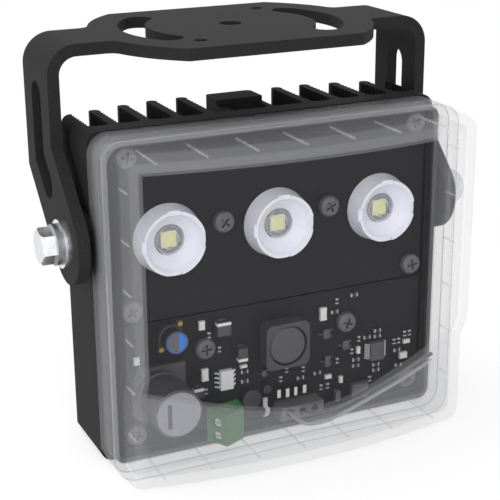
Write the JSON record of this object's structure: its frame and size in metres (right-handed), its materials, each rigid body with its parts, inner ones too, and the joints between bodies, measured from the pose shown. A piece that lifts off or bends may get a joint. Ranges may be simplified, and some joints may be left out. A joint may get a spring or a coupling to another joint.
{
  "type": "led flood light",
  "caption": "Compact LED flood light: finned black body, clear domed cover over its boards, tilting in a slotted folded bracket.",
  "frame": {"origin": "centre of the bracket's middle hole, in the flat top face that is bolted to a wall or beam", "axes": "+Z out of the bracket's top face, +X along the tilt axis, the lamp looks towards -Y"},
  "size_m": [0.1182, 0.08, 0.1046],
  "materials": {
    "bracket_coat": "satin dark grey powder coat",
    "black_anodised": "black anodised, extrusion lines",
    "clear_cover": "clear polycarbonate with frosted edges",
    "seal_rubber": "black silicone",
    "board_black": "black solder mask",
    "pad_grey": "soft heat conducting sheet",
    "screw_grey": "dull zinc",
    "zinc_steel": "bright zinc plated steel",
    "spring_steel": "zinc plated spring steel",
    "emitter_yellow": "pale yellow phosphor on a grey pad",
    "holder_white": "white moulded cup",
    "lens_clear": "clear moulded lens",
    "can_dark": "dark sleeve",
    "can_grey": "bare can",
    "part_black": "moulded black",
    "ferrite": "dark ferrite",
    "terminal_green": "green nylon",
    "tin": "tinned ends",
    "chip_pale": "pale moulded case",
    "chip_dark": "dark moulded case",
    "ceramic_pale": "pale ceramic",
    "filter_grey": "grey case",
    "connector_grey": "grey nylon",
    "lead_white": "white insulation",
    "lead_black": "black insulation"
  },
  "bodies": {
    "bracket": {"mounting_bracket": "bracket_coat"},
    "head": {"banded_diodes": "part_black", "chip_capacitors": "ceramic_pale", "chip_resistors": "tin", "controller_chip": "chip_dark", "corner_screws": "screw_grey", "cover_gasket": "seal_rubber", "driver_board": "board_black", "driver_chip": "chip_pale", "filter_blocks": "filter_grey", "flat_washer_left": "zinc_steel", "flat_washer_right": "zinc_steel", "front_cover": "clear_cover", "heat_sink_housing": "black_anodised", "inductor_base": "part_black", "inductor_core": "ferrite", "inner_screws": "screw_grey", "lead_black": "lead_black", "lead_white": "lead_white", "led_board": "board_black", "led_emitter_left": "emitter_yellow", "led_emitter_middle": "emitter_yellow", "led_emitter_right": "emitter_yellow", "lens_holder_left": "holder_white", "lens_holder_middle": "holder_white", "lens_holder_right": "holder_white", "lens_left": "lens_clear", "lens_middle": "lens_clear", "lens_right": "lens_clear", "main_capacitor": "can_dark", "pivot_bolt_left": "zinc_steel", "pivot_bolt_right": "zinc_steel", "round_coils": "part_black", "small_capacitor": "can_grey", "small_transistors": "chip_dark", "spring_washer_left": "spring_steel", "spring_washer_right": "spring_steel", "tall_capacitors": "ceramic_pale", "terminal_block": "terminal_green", "terminal_screws": "tin", "thermal_pad": "pad_grey", "wire_connector": "connector_grey"}
  },
  "joints": [
    {"name": "head_tilt", "type": "hinge", "parent": "bracket", "child": "head", "pos_m": [0, -0.0179, -0.0464], "axis": [1, 0, 0], "range_deg": [-110, 110]}
  ]
}
